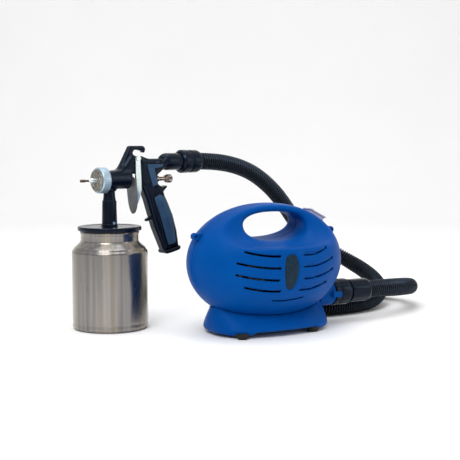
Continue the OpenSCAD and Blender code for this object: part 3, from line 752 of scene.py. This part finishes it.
def egg_field(u, v, z):
    return norm_field(u, np.hypot(v, z - EGG_Z), EGG_A, EGG_R, EGG_P)


def slot_field(line, width, u, z):
    """Distance from a round-ended slot that follows a line of points in the u z plane"""
    nearest = None
    for (u0, z0), (u1, z1) in zip(line, line[1:]):
        du, dz = u1 - u0, z1 - z0
        t = np.clip(((u - u0) * du + (z - z0) * dz) / (du * du + dz * dz), 0, 1)
        piece = np.hypot(u - u0 - t * du, z - z0 - t * dz)
        nearest = piece if nearest is None else np.minimum(nearest, piece)
    return nearest - width / 2


def smile(start, end, sag, steps=8):
    """Points of a line from start to end that sags below the straight one"""
    (u0, z0), (u1, z1) = start, end
    return [(u0 + (u1 - u0) * t, z0 + (z1 - z0) * t - 4 * sag * t * (1 - t))
            for t in [i / steps for i in range(steps + 1)]]


def vent_fields(u, z):
    """The slots cut through the casing, and the shallow sunk wedges above the right-hand ones"""
    slots = slot_field(smile((BASE_U - 20, 48), (BASE_U + 24, 50), 1.5), 1.3, u, z)
    wedges = None
    for inner, outer, low, high in VENTS:
        left = slot_field(smile((BASE_U - inner, low), (BASE_U - outer, high), 1.5), 2.3, u, z)
        left = join(left, np.hypot(u - BASE_U + inner, z - low) - 1.6, 0.5)
        lower = smile((BASE_U + inner, low), (BASE_U + outer, high), 3.2)
        right = slot_field(lower, 1.0, u, z)
        right = join(right, np.hypot(u - BASE_U - outer, z - high) - 1.9, 0.5)
        upper = smile((BASE_U + inner + 4, low + 4.6), (BASE_U + outer, high), 2.4)
        wedge = outline_field(lower + upper[-2::-1], u, z)
        slots = join(slots, join(left, right))
        wedges = wedge if wedges is None else join(wedges, wedge)
    return slots, wedges


def badge_field(u, z, grow):
    """Distance from the badge's outline, narrower at its foot"""
    low = np.minimum(z - 84, 0)
    return norm_field((u - BASE_U) / (1 + 0.015 * low), z - 84, 10.6 + grow, 22.5 + grow, 3.2)


def switch_axes(u, z):
    """Coordinates along and above the switch, which lies on the sloping rear top"""
    du, dz = u - SWITCH_U, z - SWITCH_Z
    along = du * math.cos(SWITCH_TILT) - dz * math.sin(SWITCH_TILT)
    above = du * math.sin(SWITCH_TILT) + dz * math.cos(SWITCH_TILT)
    return along, above


def casing():
    """Egg-shaped hollow casing with its carrying handle and vents"""
    step = 1.2
    u, v, z = coords = grid((-112, -80, 11), (112, 80, 171), step)
    egg = egg_field(u, v, z)
    form = egg
    for side in (-1, 1):
        scoop = np.hypot(v - side * (GRIP_HALF + SCOOP_R), z - SCOOP_Z) - SCOOP_R
        form = cut(form, scoop + 0 * u, 5.0)
    hole = norm_field(u - HOLE_U, z - HOLE_Z, HOLE_A, HOLE_B, 2.3)
    form = cut(form, hole + 0 * v, 9.0)
    shell = np.maximum(form, -(form + 3.0))
    slots, wedges = vent_fields(u, z)
    sunk = np.maximum(wedges + 0 * v, -(form + 1.5))
    shell = cut(shell, sunk, 0.3)
    shell = cut(shell, slots + 0 * v, 0.9)
    pocket = np.maximum(badge_field(u, z, 0.5) + 0 * v, -(form + 1.4))
    shell = cut(shell, np.maximum(pocket, 40 - np.abs(v)), 0.8)
    mouth = rod_field(70, 130, 17.3, 0.2, u, v, z - PORT_Z)
    shell = cut(shell, mouth, 1.0)
    along, above = switch_axes(u, z)
    seat = np.maximum(np.maximum(np.abs(along) - 12.5, np.abs(above) - 22), np.abs(v) - 8.2)
    shell = cut(shell, seat, 0.4)
    around = np.hypot(u - GLAND_U, z - GLAND_Z)
    gland = join(np.maximum(around - 6.1, 40 - v), np.maximum(around - 7.7, 56.8 - v))
    shell = cut(shell, gland, 0.4)
    seam = np.maximum(np.abs(v) - 0.35, -(form + 0.7))
    shell = cut(shell, seam, 0.5)
    field_piece("casing", shell, coords, step, "root", "blue_plastic", BLOWER,
                ["shell_near", "shell_far", "handle_shell"])


def base():
    """Plinth under the casing: steep ends, sides that lean in, a pod around each rubber foot"""
    step = 1.2
    u, v, z = coords = grid((-96, -64, 0), (86, 64, 50), step)
    along = u - PLINTH_U
    rise = np.clip((z - 9) / 24, 0, 1)
    half_a = 84 - 3 * rise ** 2
    half_b = 57 - 26 * rise ** 1.2
    pods = np.clip((np.abs(along) - 42) / 10, 0, 1)
    underside = 7 - 3.5 * pods * pods * (3 - 2 * pods)
    plinth = norm_field(along, v, half_a, half_b, 2.6)
    plinth = rounded_pair(plinth, np.maximum(underside - z, z - 46) + 0 * v, 5)
    plinth = cut(plinth, egg_field(u, v, z) - 0.25, 1.0)
    wall = 3 + 5 * (1 - rise)
    hollow = norm_field(along, v, half_a - wall, half_b - wall, 2.6)
    plinth = cut(plinth, np.maximum(hollow, 12 - z), 0.6)
    mouth = rod_field(60, 130, 17.4, 0.2, u, v, z - PORT_Z)
    plinth = cut(plinth, mouth, 0.6)
    field_piece("base", plinth, coords, step, "root", "blue_plastic", BLOWER, ["base_skirt"])


def badges():
    """Grained oval panels in the casing's sides"""
    step = 0.6
    u, v, z = coords = grid((-20, -78, 58), (8, -66, 110), step)
    inside = egg_field(u, v, z)
    panel = rounded_pair(badge_field(u, z, -0.3) + 0 * v, inside + 0.7, 1.0)
    panel = np.maximum(panel, -(inside + 2.6))
    points, faces = surface(panel, coords, step)
    mirrored = np.array(points) * (1, -1, 1)
    add_piece("badge_near", points, faces, "root", "grey_plastic", BLOWER, ["side_badges"])
    add_piece("badge_far", mirrored, faces, "root", "grey_plastic", BLOWER)


def lugs():
    """Small loops for a strap at both ends of the casing"""
    step = 0.6
    lug_u, lug_z = 103.5, 127.5
    for side, label in ((-1, "left"), (1, "right")):
        low, high = sorted((side * 82, side * 110))
        u, v, z = coords = grid((low, -7, 120), (high, 7, 135), step)
        eye = rounded_pair(np.hypot(u - side * lug_u, z - lug_z) - 4.5, np.abs(v) - 4.4, 1.2)
        arm = rounded_pair(np.maximum(np.abs(u - side * 98) - 6, np.abs(z - lug_z) - 4.2),
                           np.abs(v) - 3.8, 1.2)
        lug = join(eye, arm, 1.0)
        lug = cut(lug, np.hypot(u - side * lug_u, z - lug_z) - 2.05 + 0 * v, 0.5)
        lug = np.maximum(lug, -egg_field(u, v, z) - 0.6)
        field_piece("strap_lug_" + label, lug, coords, step, "root", "blue_plastic", BLOWER,
                    ["strap_lugs"])


def feet():
    for index, (su, sv) in enumerate(((-1, -1), (-1, 1), (1, -1), (1, 1)), 1):
        place = BLOWER @ Matrix.Translation((BASE_U + su * 53, sv * 43, 0)) @ UPRIGHT
        turned(f"rubber_foot_{index}", [(0, 0.01), (0, 6), (1.5, 7.6), (4, 8), (7.4, 8),
                                        (7.4, 0.01)],
               "root", "rubber", place, ["rubber_feet"], 0.8, 48)


def port():
    """Outlet with its blue tongue, the ribbed connector and the hose's union nut"""
    turned("outlet_ring", [(79, 13.05), (79, 17), (103.2, 17), (104, 16.4), (104, 13.05)],
           "root", "blue_plastic", PORT_AXIS, ["outlet_stub"], 0.5)
    points, faces = plate(arc(107, 0, 4, -90, 90, 8) + [(96, 4), (96, -4)], -21.4, -18.4)
    add_piece("outlet_tongue", points, faces, "root", "blue_plastic", PORT_AXIS, bevel=0.6)

    def lobes(x, r, angle):
        return r - 0.6 * max(0.0, math.cos(8 * angle)) ** 4 if r > 17.4 else r

    turned("port_connector_black", [(104.1, 9.6), (104.1, 16.6), (105, 17.9), (111, 17.9),
                                    (112, 17.2), (114, 17.2), (115, 17.9), (128.8, 17.9),
                                    (130, 16.8), (130, 14.2), (134, 14.2), (134, 9.6)],
           "root", "black_plastic", PORT_AXIS, ["port_connector"], 0.6, 144, lobes)

    def flats(x, r, angle):
        within = (angle + math.pi / 8) % (math.pi / 4) - math.pi / 8
        return min(r, 15.5 / math.cos(within))

    turned("blower_union_nut", [(134.4, 12.06), (134.4, 15), (135.4, 16), (162.6, 16),
                                (166.8, 14.4), (166.9, 12.06)],
           "blower_collar", "black_plastic", PORT_AXIS, ["blower_hose_collar"], 0.8, 144, flats)


def switch():
    """Pale rocker switch with a raised frame"""
    place = BLOWER @ Matrix.Translation((SWITCH_U, 0, SWITCH_Z))
    place = place @ Matrix.Rotation(SWITCH_TILT, 4, "Y")
    step = 0.6
    a, v, h = coords = grid((-22, -13, -18), (22, 13, 6), step)
    flange = rounded_pair(np.maximum(np.abs(a) - 14, np.abs(v) - 9.5) + 0 * h,
                          np.abs(h - 0.9) - 1.1, 1.0)
    box = np.maximum(np.maximum(np.abs(a) - 12.3, np.abs(v) - 8), np.abs(h + 7.5) - 8.5)
    frame_piece = join(flange, box)
    opening = np.maximum(np.maximum(np.abs(a) - 9.9, np.abs(v) - 5.6), np.abs(h - 6) - 14)
    frame_piece = cut(frame_piece, opening, 0.5)
    field_piece("switch_frame", frame_piece, coords, step, "root", "switch_plastic", place,
                ["switch_bezel"])
    rocker = ([(-8.6, -1), (-8.6, 4.2)]
              + [(-8.6 + 17.2 * t, 4.2 - 3.2 * t - 0.9 * math.sin(math.pi * t))
                 for t in [i / 12 for i in range(1, 12)]]
              + [(8.6, 1), (8.6, -1)])
    points, faces = plate(rocker, -5.4, 5.4)
    add_piece("rocker", points, faces, "rocker", "rocker_plastic", place, ["switch_rocker"],
              bevel=0.5)


def blower():
    casing()
    base()
    badges()
    lugs()
    feet()
    port()
    switch()


# ---- carried-over CAD nodes --------------------------------------------------------------------

def dress_cad_nodes():
    """Gives each CAD node that stays the finish of its material slot"""
    for part in frame["record"]["subparts"]:
        node = frame["nodes"][part["node"]]
        material = LOOKS[part["material_slot"]].material
        node.data.materials.clear()
        node.data.materials.append(material)


# ---- studio ------------------------------------------------------------------------------------

def floor():
    """Pale floor that sweeps up into a backdrop behind the object"""
    depth, width, curve = 1.6, 5.0, 0.8
    across = Vector((math.cos(CAMERA_TURN), math.sin(CAMERA_TURN), 0))
    away = Vector((-math.sin(CAMERA_TURN), math.cos(CAMERA_TURN), 0))
    start = Vector((0.15, -0.1, -0.0002))
    section = [(-6.0, 0.0), (depth, 0.0)]
    section += [(depth + curve * math.sin(t), curve - curve * math.cos(t))
                for t in [math.radians(d) for d in range(6, 91, 6)]]
    section += [(depth + curve, 3.0)]
    points, faces = [], []
    for far, up in section:
        for side in (-width, width):
            points.append(tuple(start + away * far + across * side + Vector((0, 0, up))))
    for i in range(len(section) - 1):
        faces.append((2 * i, 2 * i + 1, 2 * i + 3, 2 * i + 2))
    mesh = bpy.data.meshes.new("floor")
    mesh.from_pydata(points, [], faces)
    mesh.shade_smooth()
    sheet = bpy.data.objects.new("floor", mesh)
    bpy.context.scene.collection.objects.link(sheet)
    look = finish_look("floor", (0.95, 0.94, 0.93), (0.93, 0.92, 0.91), 0.7, grain=0.002,
                       depth=0.00001, patch=0.5)
    mesh.materials.append(look.material)


def area_light(name, place, aim, size, power, color=(1, 1, 1)):
    data = bpy.data.lights.new(name, "AREA")
    data.shape = "RECTANGLE"
    data.size, data.size_y = size
    data.energy = power
    data.color = color
    light = bpy.data.objects.new(name, data)
    light.location = place
    light.rotation_euler = (Vector(aim) - Vector(place)).to_track_quat("-Z", "Y").to_euler()
    bpy.context.scene.collection.objects.link(light)
    return light


def sky():
    """Surroundings that are bright overhead and dimmer towards the horizon"""
    world = bpy.data.worlds.new("studio")
    world.use_nodes = True
    tree = world.node_tree
    background = tree.nodes["Background"]
    background.inputs["Color"].default_value = (0.97, 0.98, 1.0, 1)
    direction = tree.nodes.new("ShaderNodeTexCoord")
    split = tree.nodes.new("ShaderNodeSeparateXYZ")
    ramp = tree.nodes.new("ShaderNodeMapRange")
    ramp.inputs["From Min"].default_value = 0.0
    ramp.inputs["From Max"].default_value = 0.7
    ramp.inputs["To Min"].default_value = 0.34
    ramp.inputs["To Max"].default_value = 0.86
    tree.links.new(direction.outputs["Generated"], split.inputs["Vector"])
    tree.links.new(split.outputs["Z"], ramp.inputs["Value"])
    tree.links.new(ramp.outputs["Result"], background.inputs["Strength"])
    bpy.context.scene.world = world


def studio():
    floor()
    sky()
    area_light("key", (-1.3, -0.9, 1.7), (0.1, -0.05, 0.1), (1.2, 0.9), 24)
    area_light("fill", (1.5, -1.9, 0.8), (0.1, -0.1, 0.12), (0.7, 1.2), 6, (1.0, 0.95, 0.88))
    area_light("top", (0.2, 0.1, 2.2), (0.15, -0.1, 0), (1.6, 1.6), 18, (0.93, 0.96, 1.0))
    bpy.context.scene.view_settings.view_transform = "Standard"


dress_cad_nodes()
gun()
cup()
lid()
blower()
studio()
